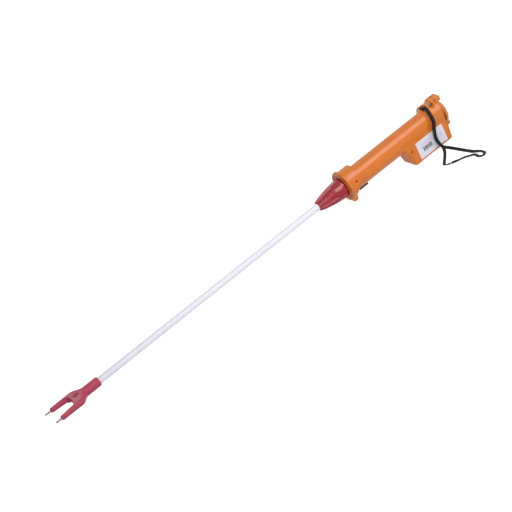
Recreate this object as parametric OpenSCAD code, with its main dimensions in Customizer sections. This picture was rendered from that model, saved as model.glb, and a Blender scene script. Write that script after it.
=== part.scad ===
// Livestock prod: a two-shell pistol-less handle, a clamped hollow shaft and a two-pronged head.
// Working frame: x = 0 at the front face of the handle, +x to the rear, z = 0 on the shaft's axis.
// Row frame: the same axes, moved so the origin is at the bottom centre of the whole prod.

/* [Shaft] */
// Bare shaft between the nose nut and the fork
shaft_bare_l = 461; // [200:1:1200]
// Outer diameter of the shaft tube
shaft_d = 12; // [11:0.5:12.5]
// Bore of the shaft tube
shaft_bore_d = 8; // [7:0.5:9]
// Length of shaft held inside the fork's sleeve
shaft_in_fork_l = 27; // [20:1:36]
// Thickness of the two wires inside the shaft
wire_d = 1.6; // [1:0.1:2]

/* [Fork] */
// Fork from the end of its sleeve to the ends of its legs
fork_l = 85; // [76:1:110]
// Distance from the end of the sleeve to the bottom of the crotch
crotch_at = 52; // [50:1:60]
// Outer diameter of the sleeve
sleeve_d = 16.4; // [15.6:0.2:19]
// Distance between the two electrodes
prong_spacing = 38; // [34:1:46]
// How much closer the legs stand at the crotch than at their ends
leg_spread = 4.6; // [0:0.2:6]
// Thickness of a leg at the crotch
leg_root_d = 10.8; // [9.6:0.2:12]
// Thickness of a leg at its end
leg_tip_d = 8.4; // [7:0.2:9.4]
// Diameter of an electrode where it leaves the leg
electrode_d = 3.6; // [2:0.1:4]
// Length of electrode that stands out of the leg
electrode_reach = 10.5; // [6:0.5:20]

/* [Nose nut] */
// Length of the nut ahead of the handle
nose_l = 55; // [48:1:64]
// Diameter at the small end
nose_tip_d = 16; // [15:0.2:18]
// Diameter at the base
nose_base_d = 34; // [32:0.5:36]
// Long flutes round the nut
flute_count = 10; // [6:1:12]
// Depth of a flute
flute_depth = 1.2; // [0.4:0.1:1.4]
// Axial travel of the nut in one turn
thread_pitch = 1.5; // [1:0.25:2]

/* [Handle] */
// Outer diameter of the grip tube
grip_d = 38; // [37:0.5:42]
// Wall of the shells
wall = 2.5; // [2:0.1:3]
// Length of the shells
shell_l = 214; // [210:1:240]
// Diameter of the front flange
flange_d = 55; // [52:1:60]
// Thickness of the front flange
flange_t = 6; // [4.2:0.1:7]
// Thickness of the wall ahead of the shaft socket
front_wall_t = 4.5; // [4:0.1:6]
// Diameter of the band behind the flange
band_d = 49.2; // [46:0.2:51]
// Length of flange and band along the top
band_top_l = 27; // [24:1:36]
// Length of flange and band along the bottom
band_low_l = 9; // [8:1:17]
// Depth of the finger horn below the axis
horn_drop = 36; // [32:1:44]
// Diameter of the rear collar
collar_d = 51.6; // [48:0.2:54]
// Length of the rear collar
collar_l = 29; // [27:1:34]
// Top of the strap lug above the axis
lug_rise = 27; // [26:0.5:29]
// Top of the end cap's ear above the axis
ear_rise = 31; // [29:0.5:34]
// Bottom of the end cap's lower ear below the axis
ear_drop = 32; // [29:0.5:34]
// Length of the end cap's ears
cap_l = 12; // [10:0.5:16]
// Length of the end cap's dome
dome_l = 9.6; // [8:0.2:10]

/* [Housing] */
// Length of the battery housing along its bottom
housing_l = 83; // [82:1:86]
// Width of the battery housing
housing_w = 38; // [38:0.5:44]
// Depth of the housing's bottom below the axis
housing_drop = 46.3; // [46:0.1:52]
// Backward lean of the housing's front wall, in degrees
front_lean = 14; // [6:1:18]
// Radius of the bottom front corner
front_corner_r = 4; // [3:0.5:12]
// Radius of the housing's upright front edges
front_edge_r = 6; // [3:0.5:8]
// Thickness of the battery door
door_t = 2.4; // [2:0.1:3]

/* [Trigger] */
// Length of the trigger bar
trigger_l = 18; // [14:1:18]
// Width of the trigger bar
trigger_w = 10; // [8:0.5:11]
// How far the trigger stands out of the grip
trigger_out = 4.4; // [3.4:0.2:6]
// Travel of the trigger
trigger_travel = 3; // [1.5:0.25:3.2]

/* [Cells] */
// Diameter of a battery cell
cell_d = 14.5; // [14:0.1:14.6]
// Length of a battery cell
cell_l = 50.5; // [49:0.5:51]

/* [Wrist strap] */
// Width of the strap
strap_w = 5.4; // [4:0.2:6.4]
// Thickness of the strap
strap_t = 1.4; // [1:0.1:1.6]

/* [Fits] */
// Radial clearance of the shaft in its bores
shaft_gap = 0.05; // [0.03:0.01:0.1]
// Clearance round a moving part
slide_gap = 0.3; // [0.25:0.05:0.4]
// Clearance round a seated part
seat_gap = 0.15; // [0.05:0.05:0.25]
// Clearance at the sides of the battery tray
bay_gap = 0.4; // [0.3:0.1:0.8]

/* [Hidden] */
$fn = 72;

orange = [0.88, 0.45, 0.10];
crimson = [0.72, 0.10, 0.20];
shaft_white = [0.93, 0.93, 0.95];
black = [0.10, 0.10, 0.11];
steel = [0.72, 0.72, 0.74];
brass = [0.80, 0.66, 0.32];

// Shaft and fork, along x
nose_x = -nose_l;
sleeve_x = nose_x - shaft_bare_l;
shaft_front = sleeve_x - shaft_in_fork_l;
neck_x = shaft_front + 1;
shoulder_x = sleeve_x - crotch_at + 7;
crotch_x = sleeve_x - crotch_at;
leg_end_x = sleeve_x - fork_l;
tip_x = leg_end_x - electrode_reach;
leg_root_y = (prong_spacing - leg_spread) / 2;
leg_tip_y = prong_spacing / 2;
leg_round = 1.6;
electrode_in = 24;
electrode_core_r = electrode_d / 2 * 0.8;
shaft_r = shaft_d / 2;
bore_r = shaft_r + shaft_gap;

// Socket that the shaft pushes into
spigot_l = 27;
spigot_r = 11.8;
socket_flange_r = 15;
socket_flange_x = front_wall_t;
socket_flange_t = 5.4;
socket_floor_x = socket_flange_x + 4.2;
socket_back_x = socket_flange_x + socket_flange_t + 1.5;
shaft_back = socket_floor_x - 0.7;
contact_y = 2.2;
contact_r = 0.8;
lead_y = 5.2;
lead_r = 0.9;
collet_l = spigot_l - 10;

// Handle shell
grip_r = grip_d / 2;
cavity_r = grip_r - wall;
band_lean = atan((band_top_l - band_low_l) / band_d);
collar_x = shell_l - collar_l;
lug_half_w = 8;
strap_hole_x = shell_l - 22;
pin_r = 1.5;
strap_pin_z = cavity_r + 4.5;
cap_plug_l = 7;
cap_r = collar_d / 2 - 2.2;
lug_screw_z = lug_rise - 3;
cap_screw_z = ear_rise - 5.6;
ear_half_w = 6.5;

// Battery housing
rear_lean = 2.6;
housing_x = shell_l - housing_l - 1.5;
bay_x = housing_x + 5.5;
bay_end = shell_l - 8;
door_recess = 0.3;
door_low = -housing_drop + door_recess;
door_top = door_low + door_t;
hinge_r = 2;
hinge_x = bay_x + hinge_r + slide_gap;
hinge_z = door_low + hinge_r;
hinge_pin_r = 0.8;
door_wide_x = hinge_x + 8;
door_side_gap = 0.6;
door_end = bay_end - 4;
tray_wall = 1.4;
contact_l = 4;
tray_x = bay_x + seat_gap;
tray_l = cell_l + 2 * contact_l + 2 * tray_wall;
cell_x = tray_x + tray_wall + contact_l;
cell_low_z = door_top + 0.7 + cell_d / 2;
cell_high_z = cell_low_z + cell_d + 0.1;
cell_y = cell_d / 2 + 0.1;
tray_top = cell_high_z + cell_d / 2 + 0.2 + tray_wall;
tray_half_w = cell_y + cell_d / 2 + 0.1 + tray_wall;
bay_half_w = tray_half_w + bay_gap;
pin_seat = (housing_w / 2 - bay_half_w) / 2;
board_z = tray_top + 1.6;
board_t = 1.6;
board_half_w = sqrt(cavity_r ^ 2 - board_z ^ 2) - 1.1;

// Trigger and switch
trigger_x = 24;
trigger_low = -grip_r - trigger_out;
pad_top = -cavity_r + 1.9;
plate_low = pad_top + slide_gap;
plate_t = 1.5;
plate_top = plate_low + plate_t;
spring_x = trigger_x + 3.4;
spring_r = 2.3;
spring_wire_r = 0.35;
spring_top = plate_top + 6;
lever_len = 17;
lever_x = 50;
lever_drop = 2.7;
lever_t = 0.5;
lever_pin_r = 0.6;
lever_pivot_z = plate_top + slide_gap + lever_drop + lever_t / 2;
lever_lean = asin(lever_drop / lever_len);
switch_low = lever_pivot_z + 0.9;
switch_h = 10;
switch_l = 20;
switch_half_w = 3.2;
switch_pin_z = switch_low + 4.6;
switch_pin_xs = [lever_x - 15, lever_x - 5.5];
plunger_x = lever_x - 8;
plunger_r = 0.8;

// Row frame
origin_x = -(tip_x + shell_l + cap_l) / 2;
module place() {
    translate([origin_x, 0, housing_drop]) children();
}

// Points of an arc about (cx, cy) from angle a0 to a1
function arc(cx, cy, r, a0, a1, n = 6) =
    [for (i = [0:n]) let (a = a0 + (a1 - a0) * i / n) [cx + r * cos(a), cy + r * sin(a)]];

// A solid turned about the x axis from a profile of [radius, x] points
module turned(profile, fn = 96) {
    rotate([0, 90, 0]) rotate_extrude($fn = fn) polygon(profile);
}

// A straight round bar along x, y or z
module bar_x(x0, x1, r, y = 0, z = 0) {
    translate([x0, y, z]) rotate([0, 90, 0]) cylinder(r = r, h = x1 - x0);
}
module bar_y(y0, y1, r, x = 0, z = 0) {
    translate([x, y1, z]) rotate([90, 0, 0]) cylinder(r = r, h = y1 - y0);
}
module bar_z(z0, z1, r, x = 0, y = 0) {
    translate([x, y, z0]) cylinder(r = r, h = z1 - z0);
}

// A box between two corners
module block(low, high) {
    translate(low) cube(high - low);
}

// A profile of [x, z] points, extruded across the handle
module across(half_w) {
    translate([0, half_w, 0]) rotate([90, 0, 0]) linear_extrude(2 * half_w) children();
}

// A profile of [y, z] points, extruded along the handle
module along(x0, x1) {
    translate([x0, 0, 0]) rotate([90, 0, 90]) linear_extrude(x1 - x0) children();
}

// A closed skin through rings of points
module skin(rings) {
    n = len(rings[0]);
    m = len(rings);
    sides = [for (i = [0:m - 2], j = [0:n - 1])
        each [[i * n + j, (i + 1) * n + j, (i + 1) * n + (j + 1) % n],
              [i * n + j, (i + 1) * n + (j + 1) % n, i * n + (j + 1) % n]]];
    first = [for (j = [1:n - 2]) [0, j, j + 1]];
    last = [for (j = [1:n - 2]) [(m - 1) * n, (m - 1) * n + j + 1, (m - 1) * n + j]];
    polyhedron([for (r = rings) each r], concat(sides, first, last));
}

// A coil spring standing on z
module coil(r, wire_r, z0, z1, turns) {
    steps = 12;
    count = turns * steps;
    skin([for (i = [0:count]) let (a = 360 * i / steps, z = z0 + wire_r + (z1 - z0 - 2 * wire_r) * i / count)
        [for (k = [0:5]) let (t = -60 * k)
            [(r + wire_r * cos(t)) * cos(a), (r + wire_r * cos(t)) * sin(a), z + wire_r * sin(t)]]]);
}

// Fork head
leg_root_x = shoulder_x;
leg_run = leg_root_x - leg_end_x - leg_round;
function leg_y(x) = leg_root_y + (leg_tip_y - leg_root_y) * (leg_root_x - x) / leg_run;
function leg_r(x) = (leg_root_d + (leg_tip_d - leg_root_d) * (leg_root_x - x) / leg_run) / 2;
module leg_shape(side) {
    turn = atan((leg_tip_y - leg_root_y) / leg_run);
    translate([leg_root_x, side * leg_root_y, 0]) rotate([0, 0, -side * turn]) rotate([0, -90, 0]) {
        cylinder(d1 = leg_root_d, d2 = leg_tip_d, h = leg_run);
        translate([0, 0, leg_run]) cylinder(d1 = leg_tip_d, d2 = leg_tip_d - 2 * leg_round, h = leg_round);
    }
}
module electrode_axis(side) {
    translate([leg_end_x, side * leg_tip_y, 0]) rotate([0, -90, 0]) children();
}
// Neck that spreads from the round sleeve to the width of both legs, with a rounded crotch
module fork_neck() {
    points = 40;
    steps = 9;
    low_x = crotch_x - 4;
    end_a = leg_y(low_x) + leg_r(low_x) + 0.1;
    end_b = leg_r(low_x) + 0.1;
    root_a = leg_root_y + leg_root_d / 2 + 0.1;
    root_b = leg_root_d / 2 + 0.1;
    inner = leg_y(low_x) - leg_r(low_x) + 0.25;
    neck_r = sleeve_d / 2 - 0.1;
    corner = 4;
    function ring(x, a, b) = [for (j = [0:points - 1]) let (t = -360 * (j + 0.5) / points)
        [x, (a - b) * sign(cos(t)) + b * cos(t), b * sin(t)]];
    difference() {
        skin(concat(
            [ring(neck_x + 2, neck_r - 0.3, neck_r - 0.3)],
            [for (i = [0:steps]) let (t = i / steps, s = t * t * (3 - 2 * t))
                ring(neck_x + (shoulder_x - neck_x) * t,
                     neck_r + (root_a - neck_r) * s, neck_r + (root_b - neck_r) * s)],
            [ring(low_x, end_a, end_b)]));
        translate([0, 0, -sleeve_d]) linear_extrude(2 * sleeve_d) polygon(concat(
            [[low_x - 10, inner], [low_x, inner]], arc(crotch_x - corner, inner - corner, corner, 90, 0),
            arc(crotch_x - corner, corner - inner, corner, 0, -90), [[low_x, -inner], [low_x - 10, -inner]]));
    }
}
module wire_route(side, r) {
    hull() {
        translate([shaft_front + 0.5, side * contact_y, 0]) sphere(r = r, $fn = 16);
        translate([leg_end_x + electrode_in + 6, side * (leg_root_y + 0.4), 0]) sphere(r = r, $fn = 16);
    }
}
recess_x = crotch_x + 8;
recess_z = 4;
screw_head_z = -3.6;
module fork_head() {
    color(crimson) place() difference() {
        union() {
            turned([[0, neck_x - 0.2], [sleeve_d / 2, neck_x - 0.2], [sleeve_d / 2, sleeve_x - 0.8],
                    [sleeve_d / 2 - 0.8, sleeve_x], [0, sleeve_x]]);
            fork_neck();
            for (side = [-1, 1]) leg_shape(side);
        }
        bar_x(shaft_front - 0.1, sleeve_x + 1, bore_r);
        // Shallow recess with the hole of the screw, which enters from below
        translate([recess_x, 0, recess_z]) cylinder(d1 = 9, d2 = 13, h = 3);
        bar_z(-9, 9, 1.45, x = recess_x);
        bar_z(-9, screw_head_z, 2.8, x = recess_x);
        for (side = [-1, 1]) {
            electrode_axis(side) translate([0, 0, -electrode_in]) cylinder(r = electrode_core_r, h = electrode_in + 1);
            wire_route(side, wire_d / 2 + 0.2);
        }
    }
}
module electrode(side) {
    r = electrode_d / 2;
    color(steel) place() electrode_axis(side) {
        translate([0, 0, -electrode_in]) cylinder(r = electrode_core_r, h = electrode_in + 0.1);
        cylinder(r = r, h = electrode_reach * 0.45);
        translate([0, 0, electrode_reach * 0.45]) cylinder(r1 = r, r2 = electrode_core_r, h = 0.8);
        translate([0, 0, electrode_reach * 0.45 + 0.8]) cylinder(r = electrode_core_r, h = electrode_reach * 0.55 - 1.6);
        translate([0, 0, electrode_reach - 0.8]) cylinder(r1 = electrode_core_r, r2 = r * 0.4, h = 0.8);
    }
}
module electrode_left() {
    electrode(-1);
}
module electrode_right() {
    electrode(1);
}
module fork_screw() {
    color(steel) place() translate([recess_x, 0, 0]) difference() {
        union() {
            bar_z(screw_head_z, 2.6, 1.45);
            bar_z(screw_head_z - 1.6, screw_head_z, 2.6);
        }
        block([-1.8, -0.35, screw_head_z - 2], [1.8, 0.35, screw_head_z - 0.8]);
    }
}
module fork_wires() {
    color(brass) place() for (side = [-1, 1]) wire_route(side, wire_d / 2);
}

// Shaft
module shaft_tube() {
    color(shaft_white) place() difference() {
        bar_x(shaft_front, shaft_back, shaft_r);
        bar_x(shaft_front - 1, shaft_back + 1, shaft_bore_d / 2);
    }
}
module shaft_wires() {
    color(brass) place() for (side = [-1, 1])
        bar_x(shaft_front + 1.4, shaft_back - 14, wire_d / 2, y = side * contact_y);
}
module shaft_plug() {
    color(black) place() difference() {
        union() {
            bar_x(shaft_back - 13.8, shaft_back, shaft_bore_d / 2);
            bar_x(shaft_back, shaft_back + 0.5, shaft_r - 0.2);
        }
        for (side = [-1, 1]) bar_x(shaft_back - 15, shaft_back + 1, contact_r, y = side * contact_y);
    }
}
module plug_contacts() {
    color(brass) place() for (side = [-1, 1])
        bar_x(shaft_back - 13.9, shaft_back + 0.55, contact_r, y = side * contact_y);
}

// Nose nut, its seal and the collet it closes
function nose_r(x) = nose_tip_d / 2 + 1.2
    + (nose_base_d / 2 - nose_tip_d / 2 - 1.2) * sin(90 * min(1, (x - nose_x - 2) / (nose_l - 3))) ^ 0.9;
nose_curve = [for (i = [0:14]) let (x = nose_x + 2 + (nose_l - 3) * i / 14) [nose_r(x), x]];
nose_ring_x = nose_x + nose_l * 0.62;
module flute(x0, x1, r, depth) {
    slope = atan((nose_r(x1) - nose_r(x0)) / (x1 - x0));
    translate([x0, 0, nose_r(x0) - depth + r / cos(slope)]) rotate([0, 90 - slope, 0])
        cylinder(r = r, h = (x1 - x0) / cos(slope), $fn = 48);
}
module nose_nut() {
    cone_x = nose_x + 10;
    thread_x = -spigot_l - 1;
    bend_x = nose_x + nose_l * 0.3;
    color(crimson) place() difference() {
        turned(concat([[0, nose_x], [nose_tip_d / 2 - 0.4, nose_x], [nose_tip_d / 2 + 0.6, nose_x + 0.8]],
                      nose_curve, [[0, -1]]));
        bar_x(nose_x - 1, -0.5, shaft_r + 2 * shaft_gap + 0.2);
        turned([[0, cone_x], [8.4 + slide_gap, cone_x], [spigot_r + slide_gap, thread_x],
                [spigot_r + slide_gap, 0], [0, 0]]);
        // Long flutes in two straight runs, then short flat lands round the rear ring
        for (i = [0:flute_count - 1]) rotate([360 * (i + 0.5) / flute_count, 0, 0]) {
            flute(nose_x + 2.6, bend_x, 3.2, flute_depth);
            flute(bend_x, nose_ring_x, 3.2, flute_depth);
            translate([nose_ring_x + 2.5, -2.6, nose_r(nose_ring_x + 2.5) - 0.5])
                rotate([0, -atan((nose_base_d / 2 - nose_r(nose_ring_x)) / (nose_l * 0.3)), 0])
                cube([nose_l * 0.2, 5.2, 3]);
        }
    }
}
module nose_seal() {
    color(black) place() turned([[spigot_r + 0.05, -0.9], [nose_base_d / 2 - 0.8, -0.9],
                                 [nose_base_d / 2 - 0.8, -0.1], [spigot_r + 0.05, -0.1]]);
}
module collet() {
    color(black) place() difference() {
        turned([[bore_r, -spigot_l - collet_l], [8.1, -spigot_l - collet_l], [spigot_r - 0.2, -spigot_l - 2],
                [spigot_r - 0.2, -spigot_l], [bore_r, -spigot_l]]);
        for (i = [0:2]) rotate([120 * i, 0, 0])
            block([-spigot_l - collet_l - 1, -0.6, 0], [-spigot_l - 4, 0.6, spigot_r + 1]);
    }
}
module shaft_socket() {
    color(black) place() difference() {
        turned([[0, -spigot_l], [spigot_r - 0.6, -spigot_l], [spigot_r, -spigot_l + 0.8],
                [spigot_r, socket_flange_x + seat_gap], [socket_flange_r, socket_flange_x + seat_gap],
                [socket_flange_r, socket_flange_x + socket_flange_t - seat_gap],
                [spigot_r - 1, socket_flange_x + socket_flange_t], [spigot_r - 1, socket_back_x], [0, socket_back_x]]);
        bar_x(-spigot_l - 1, socket_floor_x, bore_r);
        for (side = [-1, 1]) bar_x(socket_floor_x - 1, socket_back_x + 1, contact_r, y = side * contact_y);
    }
}
module socket_contacts() {
    color(brass) place() for (side = [-1, 1]) {
        bar_x(shaft_back + 0.6, socket_back_x + 1.4, contact_r, y = side * contact_y);
        block([socket_back_x + 0.1, min(side * contact_y, side * lead_y), -0.5],
              [socket_back_x + 1.3, max(side * contact_y, side * lead_y), 0.5]);
    }
}
module hv_leads() {
    color("firebrick") place() for (side = [-1, 1])
        bar_x(socket_back_x + 1.4, module_x - 0.05, lead_r, y = side * lead_y);
}

// Handle shells
groove_r = nose_base_d / 2 + 1;
module band_form() {
    // Flange and band, the band cut off by a plane that leans forward towards the bottom
    difference() {
        turned(concat([[0, 0], [groove_r, 0], [groove_r + 0.8, 1.2], [groove_r + 3.4, 1.2], [groove_r + 4.2, 0]],
                      arc(flange_d / 2 - 2.4, 2.4, 2.4, -90, 0, 5),
                      [[flange_d / 2, flange_t - 1.6], [flange_d / 2 - 1.6, flange_t],
                       [band_d / 2, flange_t], [band_d / 2, band_top_l + 4], [0, band_top_l + 4]]));
        translate([band_top_l, 0, band_d / 2]) rotate([0, band_lean, 0])
            translate([0, -flange_d, -2 * flange_d]) cube([60, 2 * flange_d, 3 * flange_d]);
    }
}
module collar_form() {
    r = collar_d / 2;
    h = housing_w / 2;
    intersection() {
        // Two rounded steps up from the grip tube
        turned(concat([[0, collar_x - 1.2], [grip_r - 0.5, collar_x - 1.2]],
                      arc(grip_r + 0.4, collar_x + 2.6, 2, -70, 0, 4),
                      arc(r - 2.4, collar_x + 8, 3, -80, -20, 4),
                      [[r, collar_x + 10], [r, shell_l - 0.8], [r - 0.8, shell_l], [0, shell_l]]));
        // Flat sides that draw in to the width of the housing
        along(collar_x - 2, shell_l) polygon([[-h - 3, 60], [-h - 3, 2], [-h, -11], [-h, -30],
                                              [h, -30], [h, -11], [h + 3, 2], [h + 3, 60]]);
    }
}
module horn_form() {
    // Finger horn: a pointed lobe under the flange, hollow at the back where the finger lies
    root_z = -flange_d / 2 + 6;
    top_z = -cavity_r;
    tip_r = 2.6;
    back_x = 19;
    intersection() {
        across(20) polygon(concat(
            [[0.6, top_z], [1.2, -flange_d / 2 + 1], [7, -horn_drop + 1.5]],
            arc(11, -horn_drop + tip_r, tip_r, 200, 350, 6),
            [for (i = [0:7]) let (a = 180 - 90 * i / 7)
                [back_x + (back_x - 14) * cos(a), -horn_drop + 3.4 + (horn_drop - 3.4 - grip_r - 0.3) * sin(a)]],
            [[back_x + 0.5, top_z]]));
        union() {
            along(-1, band_low_l + 1) union() {
                polygon([[-15, top_z], [-15, root_z], [-6, -horn_drop + 6], [6, -horn_drop + 6], [15, root_z], [15, top_z]]);
                translate([0, -horn_drop + 6.2]) circle(r = 6.2);
            }
            along(-1, back_x + 1) union() {
                polygon([[-8, top_z], [-8, root_z], [-6.1, -horn_drop + 6], [6.1, -horn_drop + 6], [8, root_z], [8, top_z]]);
                translate([0, -horn_drop + 6.2]) circle(r = 6.2);
            }
        }
    }
}
module housing_outline() {
    front_slope = tan(front_lean);
    front_x = housing_x - 0.5;
    corner = front_corner_r;
    // The corner arc starts square to the leaning front wall
    cx = front_x + corner * (1 / cos(front_lean) - tan(front_lean));
    polygon(concat(
        [[front_x - front_slope * housing_drop, 0]],
        arc(cx, -housing_drop + corner, corner, 180 + front_lean, 270, 7),
        arc(shell_l - rear_lean - 5, -housing_drop + 5, 5, 270, 360, 6),
        [[shell_l, -grip_r], [shell_l, 0]]));
}
module housing_section(edge = 2.2) {
    h = housing_w / 2;
    polygon(concat(arc(-h + edge, -housing_drop + edge, edge, 180, 270, 5),
                   arc(h - edge, -housing_drop + edge, edge, 270, 360, 5),
                   [[h, 0], [-h, 0]]));
}
// Plan of the housing with its rounded front edges, carried up along the leaning front wall
module housing_plan() {
    h = housing_w / 2;
    translate([housing_x - 0.5, 0, -housing_drop]) rotate([0, -front_lean, 0])
        translate([0, 0, -housing_l]) linear_extrude(housing_l + 2 * housing_drop) polygon(concat(
            arc(front_edge_r, h - front_edge_r, front_edge_r, 180, 90, 6),
            [[2 * housing_l, h], [2 * housing_l, -h]],
            arc(front_edge_r, front_edge_r - h, front_edge_r, 270, 180, 6)));
}
module housing_form() {
    intersection() {
        across(housing_w) housing_outline();
        along(housing_x - 30, shell_l + 5) housing_section();
        housing_plan();
    }
}
// Strap lug on top of the collar, low on the shells and higher on the end cap
lug_x = shell_l - 19;
module lug_outline() {
    polygon(concat([[lug_x, cavity_r + 3], [lug_x, collar_d / 2 - 1]],
                   [[lug_x + 2, lug_rise - 0.4], [lug_x + 4, lug_rise], [shell_l - 9, lug_rise]],
                   arc(shell_l - 4, lug_rise + 1, 3, 140, 100, 4),
                   [[shell_l, ear_rise], [shell_l + cap_l, ear_rise], [shell_l + cap_l, cavity_r + 3]]));
}
module lug_section(top, edge) {
    polygon(concat([[-lug_half_w, cavity_r - 2]],
                   arc(-lug_half_w + edge, top - edge, edge, 180, 90, 5),
                   arc(lug_half_w - edge, top - edge, edge, 90, 0, 5),
                   [[lug_half_w, cavity_r - 2]]));
}
module lug_form(x0, x1, top, edge) {
    intersection() {
        across(20) lug_outline();
        along(x0, x1) lug_section(top, edge);
    }
}
module switch_posts() {
    for (x = switch_pin_xs) {
        bar_y(-cavity_r - 1, -switch_half_w - 0.1, 2.4, x = x, z = switch_pin_z);
        bar_y(switch_half_w + 0.1, cavity_r + 1, 2.4, x = x, z = switch_pin_z);
    }
}
module_x = 58;
module_l = bay_x - module_x - 7;
boss_front = [socket_back_x + 4.2, 6];
boss_mid = [housing_x + 2, -cavity_r - 2.6];
boss_lug = [shell_l - 10, lug_screw_z];
bosses = [boss_front, boss_mid, boss_lug];
boss_face = [band_d / 2 - 0.3, housing_w / 2, lug_half_w];
boss_sunk = [6, 6, 2];
boss_head_r = [1.7, 1.7, 2.5];
boss_reach = [10, 10, lug_half_w - 1.6];
module shell_solid() {
    cavity_x = socket_flange_x + socket_flange_t;
    difference() {
        union() {
            band_form();
            bar_x(2, shell_l, grip_r);
            collar_form();
            horn_form();
            housing_form();
            lug_form(lug_x - 1, shell_l - 6, lug_rise, 4.6);
            lug_form(shell_l - 9, shell_l, ear_rise, 5.6);
        }
        // Way through the front wall, seat of the socket's flange, and the long cavity
        bar_x(-1, socket_flange_x + 1, spigot_r + seat_gap);
        bar_x(socket_flange_x, cavity_x + 1, socket_flange_r + seat_gap);
        bar_x(cavity_x, shell_l + 1, cavity_r);
        // Battery bay, open at the bottom for the door
        block([bay_x, -bay_half_w, door_top + 0.2], [bay_end, bay_half_w, tray_top + 0.3]);
        block([bay_x, -bay_half_w, -housing_drop - 1], [door_end + slide_gap, bay_half_w, door_top + 1]);
        block([door_wide_x - door_side_gap, -housing_w, -housing_drop - 1],
              [door_end + slide_gap, housing_w, door_top + 0.2]);
        // Finger notches above the door's rear edge
        for (side = [-1, 1]) block([door_end - 14, side * (housing_w / 2 - 0.8) - 0.9, door_top],
                                   [door_end - 1, side * (housing_w / 2 - 0.8) + 0.9, door_top + 2.6]);
        // Strap pocket in the top of the collar
        block([strap_hole_x - 4, -8, cavity_r + 1.4], [strap_hole_x + 3.4, 6, collar_d / 2 + 2]);
        // Flat for the head of the lug's screw
        bar_y(-grip_d, -lug_half_w - 1, 5.4, x = boss_lug[0], z = boss_lug[1] + 1);
    }
}
module shell_fittings() {
    intersection() {
        bar_x(1, shell_l, cavity_r + 0.6);
        union() {
            // Front screw boss, ribs round the module, trigger pad and the shelf over the spring
            bar_y(-grip_r, grip_r, 3.4, x = boss_front[0], z = boss_front[1]);
            for (x = [module_x - 2, module_x + module_l + 0.1]) difference() {
                bar_x(x, x + 1.9, cavity_r + 0.6);
                bar_x(x - 1, x + 3, cavity_r - 2.2);
            }
            block([trigger_x - 3.5, -9, -grip_r], [trigger_x + trigger_l + 3.5, 9, pad_top]);
            block([spring_x - 3, -cavity_r - 1, spring_top], [spring_x + 3, cavity_r + 1, spring_top + 1.6]);
            switch_posts();
        }
    }
}
module shell_holes() {
    // Slot of the trigger
    block([trigger_x - slide_gap, -trigger_w / 2 - slide_gap, -grip_r - 8],
          [trigger_x + trigger_l + slide_gap, trigger_w / 2 + slide_gap, pad_top + 1]);
    // Pins
    bar_y(-10, 10, pin_r, x = strap_hole_x, z = strap_pin_z);
    bar_y(-bay_half_w - pin_seat - 0.1, bay_half_w + pin_seat + 0.1, hinge_pin_r, x = hinge_x, z = hinge_z);
    // Screws that hold the shells and the cap
    for (i = [0:2]) {
        bar_y(-boss_face[i], 0, 1.5, x = bosses[i][0], z = bosses[i][1]);
        bar_y(-0.1, boss_reach[i] + 0.5, 1.4, x = bosses[i][0], z = bosses[i][1]);
        bar_y(-grip_d, -boss_face[i] + boss_sunk[i], boss_head_r[i] + 0.2, x = bosses[i][0], z = bosses[i][1]);
    }
    for (z = [cap_screw_z, -ear_drop + 5]) bar_x(shell_l - 6, shell_l + 1, 1.25, z = z);
    // Holes of the posts that hold the switch
    for (x = switch_pin_xs) bar_y(switch_half_w - 0.1, switch_half_w + 3, 1, x = x, z = switch_pin_z);
}
module half_shell(side) {
    low_y = side < 0 ? -60 : 0;
    difference() {
        intersection() {
            union() {
                shell_solid();
                shell_fittings();
            }
            block([-10, low_y, -80], [shell_l + 10, low_y + 60, 60]);
        }
        shell_holes();
    }
}
module shell_left() {
    color(orange) place() {
        half_shell(-1);
        // Pins of the switch posts, which reach the other shell's holes
        for (x = switch_pin_xs) bar_y(-switch_half_w - 1, switch_half_w + 2.9, 1, x = x, z = switch_pin_z);
    }
}
module shell_right() {
    color(orange) place() half_shell(1);
}
module shell_screws() {
    color(steel) place() for (i = [0:2]) {
        x = bosses[i][0];
        z = bosses[i][1];
        head_y = -boss_face[i] + boss_sunk[i];
        arm = boss_head_r[i] * 0.66;
        difference() {
            union() {
                bar_y(head_y - 1.4, head_y, boss_head_r[i], x = x, z = z);
                bar_y(head_y - 0.1, boss_reach[i], 1.4, x = x, z = z);
            }
            block([x - arm, head_y - 2, z - 0.3], [x + arm, head_y - 0.7, z + 0.3]);
            block([x - 0.3, head_y - 2, z - arm], [x + 0.3, head_y - 0.7, z + arm]);
        }
    }
}

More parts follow.
